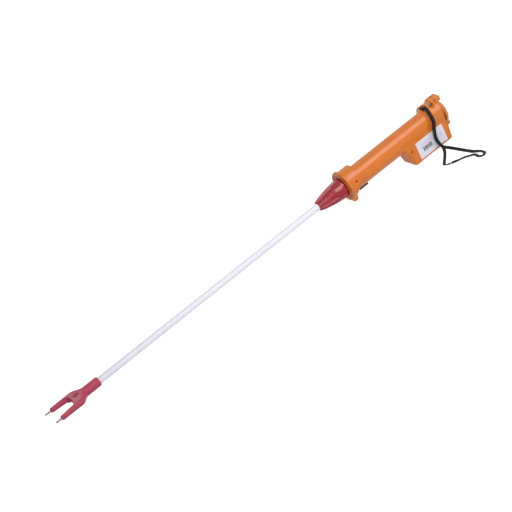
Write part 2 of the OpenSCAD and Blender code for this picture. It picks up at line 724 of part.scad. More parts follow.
// End cap: a rounded dome with an ear at the top and one at the bottom, each with a screw
module end_cap() {
    x0 = shell_l + 0.02;
    x1 = shell_l + cap_l;
    dome_end = shell_l + dome_l;
    dome = dome_l - 0.8;
    color(orange) place() difference() {
        union() {
            turned(concat([[0, shell_l - cap_plug_l], [cavity_r - 0.9, shell_l - cap_plug_l],
                           [cavity_r - seat_gap, shell_l - cap_plug_l + 0.8], [cavity_r - seat_gap, x0], [cap_r, x0]],
                          [for (i = [0:7]) let (a = 90 * i / 7)
                              [cap_r - dome + dome * cos(a), dome_end - dome + dome * sin(a)]],
                          [[0, dome_end]]));
            intersection() {
                lug_form(x0, x1, ear_rise, 5.6);
                across(20) polygon(concat([[x0, 0], [x0, ear_rise]],
                                          arc(x1 - 5, ear_rise - 5, 5, 90, 0, 5), [[x1, 0]]));
            }
            intersection() {
                along(x0, x1) union() {
                    translate([0, -ear_drop + ear_half_w]) circle(r = ear_half_w);
                    translate([-ear_half_w, -ear_drop + ear_half_w]) square([2 * ear_half_w, 14]);
                }
                across(20) polygon(concat([[x0, -5], [x0, -ear_drop]],
                                          arc(x1 - 3, -ear_drop + 3, 3, 270, 360, 5), [[x1, -5]]));
            }
        }
        bar_x(shell_l - cap_plug_l - 1, x0 + 1.6, cavity_r - 3);
        for (z = [cap_screw_z, -ear_drop + 5]) {
            bar_x(shell_l - 1, x1 + 1, 1.5, z = z);
            bar_x(x1 - 3, x1 + 1, 2.8, z = z);
        }
    }
}
module cap_screws() {
    head_x = shell_l + cap_l - 3;
    color(steel) place() {
        for (z = [cap_screw_z, -ear_drop + 5]) difference() {
            union() {
                bar_x(shell_l - 5.8, head_x + 0.1, 1.25, z = z);
                bar_x(head_x, head_x + 1.8, 2.6, z = z);
            }
            block([head_x + 0.9, -1.7, z - 0.3], [head_x + 3, 1.7, z + 0.3]);
        }
    }
}

// Trigger and its switch
module trigger_button() {
    x0 = trigger_x;
    x1 = trigger_x + trigger_l;
    color(black) place() {
        intersection() {
            across(trigger_w / 2) polygon(concat(
                [[x0, plate_low + 0.1]],
                arc(x0 + 1.5, trigger_low + 1.5, 1.5, 180, 270, 3),
                [for (i = [1:5]) [x0 + 1.5 + (trigger_l - 3) * i / 6, trigger_low + 0.7 * sin(180 * i / 6)]],
                arc(x1 - 1.5, trigger_low + 1.5, 1.5, 270, 360, 3),
                [[x1, plate_low + 0.1]]));
            along(x0 - 1, x1 + 1) polygon(concat(
                arc(-trigger_w / 2 + 1.4, trigger_low + 1.4, 1.4, 180, 270, 3),
                arc(trigger_w / 2 - 1.4, trigger_low + 1.4, 1.4, 270, 360, 3),
                [[trigger_w / 2, 0], [-trigger_w / 2, 0]]));
        }
        block([x0 - 2, -trigger_w / 2 - 2, plate_low], [x1 + 2, trigger_w / 2 + 2, plate_top]);
        bar_z(plate_top - 0.1, plate_top + 2.2, spring_r - spring_wire_r - 0.35, x = spring_x);
        block([lever_x - lever_len - 0.5, -1.5, plate_top - 0.1], [lever_x - lever_len + 1.5, 1.5, plate_top + 0.1]);
    }
}
module trigger_spring() {
    color(steel) place() translate([spring_x, 0, 0])
        coil(spring_r, spring_wire_r, plate_top + 0.05, spring_top - 0.05, 6);
}
module switch_body() {
    x1 = lever_x + 2.5;
    color(black) place() difference() {
        union() {
            block([x1 - switch_l, -switch_half_w, switch_low], [x1, switch_half_w, switch_low + switch_h]);
            for (side = [-1, 1]) block([lever_x - 1.4, side * 2.6 - 0.6, lever_pivot_z - 1.1],
                                       [lever_x + 1.4, side * 2.6 + 0.6, switch_low + 0.5]);
        }
        for (x = switch_pin_xs) bar_y(-5, 5, 1.05, x = x, z = switch_pin_z);
        bar_z(switch_low - 1, switch_low + 3.4, plunger_r + 0.06, x = plunger_x);
        bar_y(-5, 5, lever_pin_r + 0.05, x = lever_x, z = lever_pivot_z);
    }
}
module switch_lever() {
    color(steel) place() translate([lever_x, 0, lever_pivot_z]) rotate([0, -lever_lean, 0]) {
        block([-lever_len, -1.4, -lever_t / 2], [0, 1.4, lever_t / 2]);
        bar_y(-3.1, 3.1, lever_pin_r);
    }
}
module switch_plunger() {
    lever_top = lever_pivot_z - (lever_x - plunger_x) * tan(lever_lean) + lever_t / 2 / cos(lever_lean);
    color(shaft_white) place() bar_z(lever_top + 0.25, switch_low + 1.2, plunger_r, x = plunger_x);
}

// Electronics
module hv_module() {
    color([0.14, 0.14, 0.16]) place() difference() {
        bar_x(module_x, module_x + module_l, cavity_r - seat_gap);
        for (side = [-1, 1]) block([module_x - 1, side * cavity_r * 0.6 - 2, cavity_r - 3.4],
                                   [module_x + module_l + 1, side * cavity_r * 0.6 + 2, cavity_r + 3]);
    }
}
board_x = module_x + module_l + 8;
board_l = shell_l - cap_plug_l - 4 - board_x;
module circuit_board() {
    color([0.10, 0.36, 0.18]) place() {
        block([board_x, -board_half_w, board_z], [board_x + board_l, board_half_w, board_z + board_t]);
        for (x = [board_x + board_l * 0.06, board_x + board_l * 0.83], y = [-0.7, 0.7])
            bar_z(tray_top + 0.02, board_z + 0.1, 1.6, x = x, y = y * board_half_w);
    }
}
module storage_capacitor() {
    color([0.15, 0.25, 0.55]) place()
        bar_x(board_x + board_l * 0.09, board_x + board_l * 0.36, 5, y = -5, z = board_z + board_t + 5);
}
module choke_coil() {
    color(brass) place() translate([board_x + board_l * 0.6, 2, board_z + board_t]) difference() {
        cylinder(r = 7, h = 6);
        translate([0, 0, -1]) cylinder(r = 3, h = 8);
    }
}
module battery_leads() {
    color("firebrick") place() for (side = [-1, 1])
        bar_x(module_x + module_l + 0.05, board_x - 0.05, lead_r, y = side * 4, z = board_z + board_t / 2);
}
module cell(y, z, flip) {
    r = cell_d / 2;
    nub_r = 2.7;
    nub_l = 1.2;
    color([0.20, 0.22, 0.24]) place() translate([cell_x + cell_l / 2, y, z]) rotate([0, 0, flip ? 180 : 0])
        turned([[0, -cell_l / 2], [r - 0.6, -cell_l / 2], [r, -cell_l / 2 + 0.6], [r, cell_l / 2 - nub_l - 0.6],
                [r - 0.6, cell_l / 2 - nub_l], [nub_r, cell_l / 2 - nub_l], [nub_r, cell_l / 2], [0, cell_l / 2]]);
}
module cell_1() {
    cell(-cell_y, cell_low_z, false);
}
module cell_2() {
    cell(cell_y, cell_low_z, true);
}
module cell_3() {
    cell(-cell_y, cell_high_z, true);
}
module cell_4() {
    cell(cell_y, cell_high_z, false);
}
module battery_tray() {
    low = hinge_z + hinge_r + 0.6;
    color(black) place() difference() {
        block([tray_x, -tray_half_w, low], [tray_x + tray_l, tray_half_w, tray_top]);
        block([tray_x + tray_wall, -tray_half_w + tray_wall, low - 1],
              [tray_x + tray_l - tray_wall, tray_half_w - tray_wall, tray_top - tray_wall]);
    }
}
module battery_contacts() {
    back_x = tray_x + tray_l - tray_wall;
    color(steel) place() for (y = [-cell_y, cell_y], z = [cell_low_z, cell_high_z]) {
        block([tray_x + tray_wall, y - 5, z - 5], [tray_x + tray_wall + 0.4, y + 5, z + 5]);
        bar_x(tray_x + tray_wall + 0.3, cell_x - 0.05, 2.4, y = y, z = z);
        block([back_x - 0.4, y - 5, z - 5], [back_x, y + 5, z + 5]);
        bar_x(cell_x + cell_l + 0.05, back_x - 0.3, 2.4, y = y, z = z);
    }
}

// Battery door and its hinge pin
module battery_door() {
    color(orange) place() difference() {
        union() {
            intersection() {
                translate([0, 0, door_recess]) housing_form();
                block([door_wide_x, -housing_w, door_low - 1], [door_end, housing_w, door_top]);
            }
            block([hinge_x, -bay_half_w + slide_gap, door_low], [door_wide_x + 1, bay_half_w - slide_gap, door_top]);
            bar_y(-bay_half_w + slide_gap, bay_half_w - slide_gap, hinge_r, x = hinge_x, z = hinge_z);
        }
        bar_y(-housing_w, housing_w, hinge_pin_r + 0.05, x = hinge_x, z = hinge_z);
        // Grip grooves on the outside, near the end that opens
        for (i = [0:4]) block([door_end - 6 - 2.4 * i, -9, door_low - 1], [door_end - 5 - 2.4 * i, 9, door_low + 0.6]);
    }
}
module door_hinge_pin() {
    color(steel) place() bar_y(-bay_half_w - pin_seat, bay_half_w + pin_seat, hinge_pin_r, x = hinge_x, z = hinge_z);
}

// Wrist strap: one flat band, out of the pocket, down to the ground, round its loop and back
module strap_pin() {
    color(steel) place() bar_y(-9.8, 9.8, pin_r, x = strap_hole_x, z = strap_pin_z);
}
// Each row is x, y, z of the centre line, then the direction of the band's flat face
strap_route = [
    [191.2, -2, 23.6, 0, 0, 1], [191.6, -5.2, 24.2, 0, -1, 4], [191.4, -8.8, 26.2, 0, -1, 3],
    [190.6, -13.8, 23.7, 0, -2, 3], [189.4, -18.2, 20, 0, -1, 1], [188.2, -22, 15.4, 0, -3, 2],
    [187.2, -24.8, 9.2, 0, -3, 1], [185.6, -26, 3, 0, -1, 0], [182.6, -25, -6, 0, -1, 0],
    [180.4, -24, -16, 0, -1, 0], [179.4, -23.4, -25, 0, -1, 0], [180.6, -23.6, -34, 0, -1, 0],
    [182.4, -25.4, -40.6, 0, -3, 1], [184, -30, -43.6, -1, -1, 2], [186, -40, -44, -3, 0, 4],
    [188, -55, -44, -3, 0, 4], [190.4, -75, -44, -3, 0, 4], [193, -95, -43.6, -2, 0, 4],
    [196, -104, -43, -1, 0, 4], [200.4, -109, -45.2, 0, 0, 1], [200, -117, -45.4, 0, 0, 1],
    [194, -121.4, -45.4, 0, 0, 1], [188.6, -116, -45.4, 0, 0, 1], [189.4, -108, -45.4, 0, 0, 1],
    [188.4, -102, -45.4, 0, 0, 1], [183, -96, -45.4, 0, 0, 1], [176, -90, -45.4, 0, 0, 1],
    [167, -86, -45, 0, 0, 1], [160, -83.4, -44, 1, -1, 3], [154, -81, -43.6, 2, 0, 1],
    [149.4, -76, -44, 1, 1, 2], [150, -69, -45, 0, 0, 1], [157, -61, -45.2, 0, 0, 1],
    [168, -49, -45.2, 0, 0, 1], [177, -38, -44.8, 0, 0, 1], [181, -30.6, -42.4, 0, -1, 1],
    [181, -27.6, -38.6, 0, -3, 1], [179.6, -26.4, -32, 0, -1, 0], [179, -26, -24, 0, -1, 0],
    [180, -26.6, -15, 0, -1, 0], [182.4, -27.6, -6, 0, -1, 0], [185.4, -28.6, 2, 0, -1, 0],
    [187.4, -27.4, 9.4, 0, -3, 1], [188.4, -24, 16.2, 0, -3, 2], [189.6, -19.8, 21.4, 0, -1, 1],
    [190.8, -14.8, 25.2, 0, -2, 3], [191.4, -9.4, 27.6, 0, -1, 3], [191.6, -5.4, 26.8, 0, 1, 4],
    [191.4, -2.2, 25.4, 0, 1, 2]
];
function unit(v) = v / norm(v);
module wrist_strap() {
    last = len(strap_route) - 1;
    function at(i) = [for (k = [0:2]) strap_route[i][k]];
    function face(i) = [for (k = [3:5]) strap_route[i][k]];
    color(black) place() skin([for (i = [0:last])
        let (ahead = unit(at(min(i + 1, last)) - at(max(i - 1, 0))),
             side = unit(cross(ahead, face(i))),
             up = cross(side, ahead))
        [for (c = [[1, 1], [1, -1], [-1, -1], [-1, 1]])
            at(i) + side * c[0] * strap_w / 2 + up * c[1] * strap_t / 2]]);
}

fork_head();
electrode_left();
electrode_right();
fork_screw();
fork_wires();
shaft_tube();
shaft_wires();
shaft_plug();
plug_contacts();
nose_nut();
nose_seal();
collet();
shaft_socket();
socket_contacts();
hv_leads();
shell_left();
shell_right();
shell_screws();
end_cap();
cap_screws();
trigger_button();
trigger_spring();
switch_body();
switch_lever();
switch_plunger();
hv_module();
circuit_board();
storage_capacitor();
choke_coil();
battery_leads();
cell_1();
cell_2();
cell_3();
cell_4();
battery_tray();
battery_contacts();
battery_door();
door_hinge_pin();
strap_pin();
wrist_strap();
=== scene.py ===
import math
import bpy
import numpy as np
from mathutils import Matrix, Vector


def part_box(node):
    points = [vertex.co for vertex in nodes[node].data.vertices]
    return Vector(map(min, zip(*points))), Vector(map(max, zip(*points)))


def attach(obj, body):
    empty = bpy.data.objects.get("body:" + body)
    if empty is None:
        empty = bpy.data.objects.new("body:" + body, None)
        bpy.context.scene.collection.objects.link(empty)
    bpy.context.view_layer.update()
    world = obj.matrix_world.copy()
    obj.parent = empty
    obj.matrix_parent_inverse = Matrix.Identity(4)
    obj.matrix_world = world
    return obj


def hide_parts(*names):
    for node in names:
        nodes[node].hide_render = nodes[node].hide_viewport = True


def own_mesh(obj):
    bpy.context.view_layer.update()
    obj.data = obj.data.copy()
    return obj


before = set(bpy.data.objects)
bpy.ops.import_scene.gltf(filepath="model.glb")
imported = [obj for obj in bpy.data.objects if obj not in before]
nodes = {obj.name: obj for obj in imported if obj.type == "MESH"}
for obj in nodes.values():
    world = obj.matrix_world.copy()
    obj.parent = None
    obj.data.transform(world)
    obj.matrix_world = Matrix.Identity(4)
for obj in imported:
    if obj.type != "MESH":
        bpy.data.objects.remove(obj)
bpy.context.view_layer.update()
mm = 0.001

# Row frame: the handle's front face stands at x = handleX, the shaft's axis at z = axisZ
handleX = 0.19275
axisZ = 0.0463


def placed(points):
    # From millimetres off the handle's front face and the axis to metres in the row frame
    moved = np.asarray(points, dtype=float) * mm
    moved[..., 0] += handleX
    moved[..., 2] += axisZ
    return moved


# Camera

cameraSettings = {
    "place": (-0.992955, -2.603479, 1.597679),
    "turn": (57.7855, 24.1758, -35.4092),
    "lens": 140.6,
    "sensor": 36.0,
    "reach": 60.0,
}


def addCamera(s):
    data = bpy.data.cameras.new("camera")
    data.lens = s["lens"]
    data.sensor_width = s["sensor"]
    data.clip_end = s["reach"]
    camera = bpy.data.objects.new("camera", data)
    camera.location = s["place"]
    camera.rotation_euler = [math.radians(a) for a in s["turn"]]
    bpy.context.scene.collection.objects.link(camera)
    bpy.context.scene.camera = camera


addCamera(cameraSettings)
print("camera placed")


# Meshes from grids

def cappedTube(name, grid, uv=None):
    # Rings joined into a tube, with one face over each end
    rows, cols = grid.shape[:2]
    index = np.arange(rows * cols).reshape(rows, cols)
    turned = np.roll(index, -1, axis=1)
    corners = [index[:-1], turned[:-1], turned[1:], index[1:]]
    sides = np.stack(corners, axis=-1).reshape(-1, 4).tolist()
    ends = [index[0, ::-1].tolist(), index[-1].tolist()]
    mesh = bpy.data.meshes.new(name)
    mesh.from_pydata(grid.reshape(-1, 3).tolist(), [], sides + ends)
    mesh.polygons.foreach_set("use_smooth", np.array([True] * len(sides) + [False, False]))
    if uv is not None:
        layer = mesh.uv_layers.new(name="along")
        loops = np.array([v for face in sides + ends for v in face])
        layer.data.foreach_set("uv", uv.reshape(-1, 2)[loops].astype(np.float32).ravel())
    mesh.validate()
    return mesh


def addPiece(name, mesh, material, body):
    piece = bpy.data.objects.new(name, mesh)
    bpy.context.scene.collection.objects.link(piece)
    mesh.materials.append(material)
    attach(piece, body)
    return piece


def smoothPath(points, perSpan):
    # A Catmull-Rom curve: each span blends its two ends and their neighbours by cubic weights
    p = np.asarray(points, dtype=float)
    p = np.vstack([2 * p[0] - p[1], p, 2 * p[-1] - p[-2]])
    t = np.linspace(0, 1, perSpan, endpoint=False)[None, :, None]
    a, b, c, d = (p[k:len(p) - 3 + k][:, None, :] for k in range(4))
    square = (2 * a - 5 * b + 4 * c - d) * t ** 2
    cube = (3 * b - a - 3 * c + d) * t ** 3
    spans = 0.5 * (2 * b + (c - a) * t + square + cube)
    return np.vstack([spans.reshape(-1, p.shape[1]), p[-2]])


def unitRows(v):
    return v / np.maximum(np.linalg.norm(v, axis=-1, keepdims=True), 1e-12)


# Shader helpers

floatSocket = "NodeSocketFloat"
vectorSocket = "NodeSocketVector"


def linear(rgb):
    # From screen values 0 to 255 to the shader's linear colour
    v = [c / 255 for c in rgb]
    return [c / 12.92 if c <= 0.04045 else ((c + 0.055) / 1.055) ** 2.4 for c in v] + [1.0]


def newGroup(name, inputs, outputs):
    tree = bpy.data.node_groups.new(name, "ShaderNodeTree")
    for label, kind, start in inputs:
        socket = tree.interface.new_socket(name=label, in_out="INPUT", socket_type=kind)
        socket.default_value = start
    for label in outputs:
        tree.interface.new_socket(name=label, in_out="OUTPUT", socket_type=floatSocket)
    return tree, tree.nodes.new("NodeGroupInput"), tree.nodes.new("NodeGroupOutput")


def addNode(tree, kind, values=None, **settings):
    node = tree.nodes.new(kind)
    for key, value in settings.items():
        setattr(node, key, value)
    for key, value in (values or {}).items():
        node.inputs[key].default_value = value
    return node


def addNoise(tree, vector, values):
    node = addNode(tree, "ShaderNodeTexNoise", values)
    tree.links.new(vector, node.inputs["Vector"])
    return node


def addMapping(tree, vector, values=None):
    node = addNode(tree, "ShaderNodeMapping", values)
    tree.links.new(vector, node.inputs["Vector"])
    return node


def mathNode(tree, operation, a, b=None, clamp=False):
    node = addNode(tree, "ShaderNodeMath", operation=operation, use_clamp=clamp)
    for slot, value in enumerate((a, b)):
        if value is None:
            continue
        if isinstance(value, (int, float)):
            node.inputs[slot].default_value = value
        else:
            tree.links.new(value, node.inputs[slot])
    return node.outputs[0]


def rangeNode(tree, value, low, high, outLow=0.0, outHigh=1.0):
    bounds = {"From Min": low, "From Max": high, "To Min": outLow, "To Max": outHigh}
    node = addNode(tree, "ShaderNodeMapRange", bounds)
    tree.links.new(value, node.inputs["Value"])
    return node.outputs["Result"]


def mixColors(tree, factor, first, second):
    # Of the mix node's sockets, 6 and 7 are the two colours and output 2 is their mix
    node = addNode(tree, "ShaderNodeMix", data_type="RGBA")
    tree.links.new(factor, node.inputs["Factor"])
    for slot, value in ((6, first), (7, second)):
        if isinstance(value, (list, tuple)):
            node.inputs[slot].default_value = value
        else:
            tree.links.new(value, node.inputs[slot])
    return node.outputs[2]


# Moulded plastic: cloudy tone, fine grain, smudges, and soft flow lines along the length

mouldedSettings = {
    "tone": {"Detail": 4.0, "Roughness": 0.55},
    "toneBand": (0.3, 0.7),
    "grain": {"Detail": 2.0, "Roughness": 0.6},
    "smudge": {"Scale": 42.0, "Detail": 6.0, "Roughness": 0.7, "Distortion": 0.6},
    "smudgeBand": (0.42, 0.72),
    "flow": {"Scale": 1.0, "Detail": 3.0},
    "flowStretch": (6.0, 90.0, 90.0),
}


def buildMouldedGroup(s):
    inputs = [("Tone Scale", floatSocket, 18.0), ("Grain Scale", floatSocket, 900.0),
              ("Flow", floatSocket, 0.3)]
    tree, give, take = newGroup("mouldedSurface", inputs, ["Tone", "Height", "Smudge"])
    place = addNode(tree, "ShaderNodeTexCoord").outputs["Object"]
    tone = addNoise(tree, place, s["tone"])
    grain = addNoise(tree, place, s["grain"])
    smudge = addNoise(tree, place, s["smudge"])
    stretched = addMapping(tree, place, {"Scale": s["flowStretch"]})
    flow = addNoise(tree, stretched.outputs[0], s["flow"])
    tree.links.new(give.outputs["Tone Scale"], tone.inputs["Scale"])
    tree.links.new(give.outputs["Grain Scale"], grain.inputs["Scale"])
    flowHeight = mathNode(tree, "MULTIPLY", flow.outputs["Fac"], give.outputs["Flow"])
    height = mathNode(tree, "ADD", grain.outputs["Fac"], flowHeight)
    tree.links.new(height, take.inputs["Height"])
    tree.links.new(rangeNode(tree, tone.outputs["Fac"], *s["toneBand"]), take.inputs["Tone"])
    tree.links.new(rangeNode(tree, smudge.outputs["Fac"], *s["smudgeBand"]), take.inputs["Smudge"])
    return tree


# Hairline marks: thin bands of two stretched noises, kept where a coarse noise is high

scratchSettings = {
    "patch": {"Scale": 30.0, "Detail": 3.0},
    "line": {"Scale": 1.0, "Detail": 1.0},
    "runs": [
        {"Rotation": (0.2, 0.1, 0.4), "Scale": (30.0, 900.0, 900.0)},
        {"Rotation": (1.1, 0.7, -0.5), "Scale": (900.0, 40.0, 900.0)},
    ],
    "middle": 0.5,
    "lineWidth": 0.012,
    "keepBand": (0.5, 0.62),
}


def buildScratchGroup(s):
    tree, give, take = newGroup("hairMarks", [("Density", floatSocket, 0.5)], ["Mask"])
    place = addNode(tree, "ShaderNodeTexCoord").outputs["Object"]
    patch = addNoise(tree, place, s["patch"])
    bands = []
    for run in s["runs"]:
        noise = addNoise(tree, addMapping(tree, place, run).outputs[0], s["line"])
        offset = mathNode(tree, "SUBTRACT", noise.outputs["Fac"], s["middle"])
        apart = mathNode(tree, "ABSOLUTE", offset)
        bands.append(rangeNode(tree, apart, 0.0, s["lineWidth"], 1.0, 0.0))
    lines = mathNode(tree, "MAXIMUM", *bands)
    density = mathNode(tree, "SUBTRACT", give.outputs["Density"], s["middle"])
    keep = rangeNode(tree, mathNode(tree, "ADD", patch.outputs["Fac"], density), *s["keepBand"])
    tree.links.new(mathNode(tree, "MULTIPLY", lines, keep, clamp=True), take.inputs["Mask"])
    return tree


# Metal drawn or turned along one direction: noise stretched by the given scale, and stains

drawnSettings = {
    "lines": {"Scale": 1.0, "Detail": 3.0},
    "stain": {"Scale": 260.0, "Detail": 4.0, "Roughness": 0.65},
    "stainBand": (0.35, 0.68),
}


def buildDrawnMetalGroup(s):
    inputs = [("Stretch", vectorSocket, (40.0, 900.0, 900.0))]
    tree, give, take = newGroup("drawnMetal", inputs, ["Tone", "Height"])
    place = addNode(tree, "ShaderNodeTexCoord").outputs["Object"]
    mapping = addMapping(tree, place)
    tree.links.new(give.outputs["Stretch"], mapping.inputs["Scale"])
    lines = addNoise(tree, mapping.outputs[0], s["lines"])
    stain = addNoise(tree, place, s["stain"])
    tree.links.new(lines.outputs["Fac"], take.inputs["Height"])
    tree.links.new(rangeNode(tree, stain.outputs["Fac"], *s["stainBand"]), take.inputs["Tone"])
    return tree


# Flat weave on the piece's own map, in metres: u runs along the band and v across it

webbingSettings = {
    "warpShare": 0.5,
    "fuzz": {"Scale": 1800.0, "Detail": 2.0},
    "fuzzHeight": 0.5,
}


def buildWebbingGroup(s):
    tree, give, take = newGroup("flatWebbing", [("Pick", floatSocket, 0.0009)], ["Height", "Shade"])
    place = addNode(tree, "ShaderNodeTexCoord")
    split = addNode(tree, "ShaderNodeSeparateXYZ")
    tree.links.new(place.outputs["UV"], split.inputs[0])
    turn = mathNode(tree, "DIVIDE", 2 * math.pi, give.outputs["Pick"])
    along = mathNode(tree, "MULTIPLY", split.outputs["X"], turn)
    across = mathNode(tree, "MULTIPLY", split.outputs["Y"], turn)
    warp = mathNode(tree, "SINE", mathNode(tree, "MULTIPLY", across, s["warpShare"]))
    weft = mathNode(tree, "SINE", along)
    height = rangeNode(tree, mathNode(tree, "MULTIPLY", warp, weft), -1.0, 1.0)
    fuzz = addNoise(tree, place.outputs["Object"], s["fuzz"]).outputs["Fac"]
    fuzzy = mathNode(tree, "MULTIPLY", fuzz, s["fuzzHeight"])
    tree.links.new(mathNode(tree, "ADD", height, fuzzy), take.inputs["Height"])
    tree.links.new(mathNode(tree, "MULTIPLY", height, fuzz, clamp=True), take.inputs["Shade"])
    return tree


# Darkening round one place: full within the inner radius, fading to nothing at the outer one

# It paints shade into recesses and round holes, and darkens the electrode tips
def buildSpotGroup():
    inputs = [("Place", vectorSocket, (0.0, 0.0, 0.0)), ("Inner", floatSocket, 0.001),
              ("Outer", floatSocket, 0.002), ("Amount", floatSocket, 1.0)]
    tree, give, take = newGroup("spotDarkening", inputs, ["Mask"])
    place = addNode(tree, "ShaderNodeTexCoord")
    apart = addNode(tree, "ShaderNodeVectorMath", operation="DISTANCE")
    tree.links.new(place.outputs["Object"], apart.inputs[0])
    tree.links.new(give.outputs["Place"], apart.inputs[1])
    fade = addNode(tree, "ShaderNodeMapRange", {"To Min": 1.0, "To Max": 0.0},
                   interpolation_type="SMOOTHSTEP")
    tree.links.new(apart.outputs["Value"], fade.inputs["Value"])
    tree.links.new(give.outputs["Inner"], fade.inputs["From Min"])
    tree.links.new(give.outputs["Outer"], fade.inputs["From Max"])
    mask = mathNode(tree, "MULTIPLY", fade.outputs["Result"], give.outputs["Amount"])
    tree.links.new(mask, take.inputs["Mask"])
    return tree


# Dirt and painted shade along a flat joint, faded over the width by the distance from a plane
# square to the direction

seamSettings = {
    "uneven": {"Scale": 160.0, "Detail": 2.0},
    "unevenBand": (0.3, 0.6, 0.7, 1.0),
}


def buildSeamGroup(s):
    inputs = [("Direction", vectorSocket, (1.0, 0.0, 0.0)), ("Offset", floatSocket, 0.0),
              ("Width", floatSocket, 0.0004), ("Amount", floatSocket, 0.6)]
    tree, give, take = newGroup("seamDirtAndShade", inputs, ["Mask"])
    place = addNode(tree, "ShaderNodeTexCoord").outputs["Object"]
    along = addNode(tree, "ShaderNodeVectorMath", operation="DOT_PRODUCT")
    uneven = addNoise(tree, place, s["uneven"])
    tree.links.new(place, along.inputs[0])
    tree.links.new(give.outputs["Direction"], along.inputs[1])
    apart = mathNode(tree, "SUBTRACT", along.outputs["Value"], give.outputs["Offset"])
    fade = addNode(tree, "ShaderNodeMapRange", {"From Min": 0.0, "To Min": 1.0, "To Max": 0.0})
    tree.links.new(mathNode(tree, "ABSOLUTE", apart), fade.inputs["Value"])
    tree.links.new(give.outputs["Width"], fade.inputs["From Max"])
    patchy = rangeNode(tree, uneven.outputs["Fac"], *s["unevenBand"])
    strength = mathNode(tree, "MULTIPLY", patchy, give.outputs["Amount"])
    mask = mathNode(tree, "MULTIPLY", fade.outputs["Result"], strength)
    tree.links.new(mask, take.inputs["Mask"])
    return tree


mouldedGroup = buildMouldedGroup(mouldedSettings)
spotGroup = buildSpotGroup()
seamGroup = buildSeamGroup(seamSettings)
scratchGroup = buildScratchGroup(scratchSettings)
drawnGroup = buildDrawnMetalGroup(drawnSettings)
webbingGroup = buildWebbingGroup(webbingSettings)


# Materials

metalBumpDepth = 0.00008


def startMaterial(name):
    material = bpy.data.materials.new(name)
    material.use_nodes = True
    tree = material.node_tree
    return material, tree, tree.nodes["Principled BSDF"]


def useGroup(tree, group, values):
    node = tree.nodes.new("ShaderNodeGroup")
    node.node_tree = group
    for key, value in values.items():
        node.inputs[key].default_value = value
    return node


def addBump(tree, shader, height, strength, distance):
    bump = addNode(tree, "ShaderNodeBump", {"Strength": strength, "Distance": distance})
    tree.links.new(height, bump.inputs["Height"])
    tree.links.new(bump.outputs[0], shader.inputs["Normal"])


def addRoughness(tree, shader, mask, s):
    rough = rangeNode(tree, mask, 0.0, 1.0, s["rough"], s["rough"] + s["roughSpread"])
    tree.links.new(rough, shader.inputs["Roughness"])


# Darkening at spots and along joints: painted shade in recesses and round holes, dark joints, and
# darker electrode tips
def withDarkening(tree, color, s):
    # Spots are (place, inner, outer, amount) and seams (direction, place, width, amount), in mm
    masks = []
    for at, inner, outer, amount in s.get("spots", []):
        values = {"Place": placed(at), "Inner": inner * mm, "Outer": outer * mm, "Amount": amount}
        masks.append(useGroup(tree, spotGroup, values))
    for direction, at, width, amount in s.get("seams", []):
        values = {"Direction": direction, "Offset": float(np.dot(direction, placed(at))),
                  "Width": width * mm, "Amount": amount}
        masks.append(useGroup(tree, seamGroup, values))
    for node in masks:
        color = mixColors(tree, node.outputs["Mask"], color, linear(s["darkening"]))
    return color


def plastic(name, s):
    # Two close tones in clouds, marks a little lighter, roughness raised by smudges
    material, tree, shader = startMaterial(name)
    moulded = useGroup(tree, mouldedGroup, {"Tone Scale": s["toneScale"],
                                            "Grain Scale": s["grainScale"], "Flow": s["flow"]})
    marks = useGroup(tree, scratchGroup, {"Density": s["marks"]})
    body = mixColors(tree, moulded.outputs["Tone"], linear(s["base"]), linear(s["shade"]))
    marked = mathNode(tree, "MULTIPLY", marks.outputs["Mask"], s["markAmount"])
    worn = mixColors(tree, marked, body, linear(s["mark"]))
    tree.links.new(withDarkening(tree, worn, s), shader.inputs["Base Color"])
    addRoughness(tree, shader, moulded.outputs["Smudge"], s)
    addBump(tree, shader, moulded.outputs["Height"], s["bump"], s["bumpDepth"])
    return material


def metal(name, s):
    # Two close tones in stains, roughness raised with them, fine lines along the stretch
    material, tree, shader = startMaterial(name)
    drawn = useGroup(tree, drawnGroup, {"Stretch": s["stretch"]})
    body = mixColors(tree, drawn.outputs["Tone"], linear(s["base"]), linear(s["shade"]))
    tree.links.new(withDarkening(tree, body, s), shader.inputs["Base Color"])
    addRoughness(tree, shader, drawn.outputs["Tone"], s)
    shader.inputs["Metallic"].default_value = s.get("metallic", 1.0)
    addBump(tree, shader, drawn.outputs["Height"], s["bump"], metalBumpDepth)
    return material
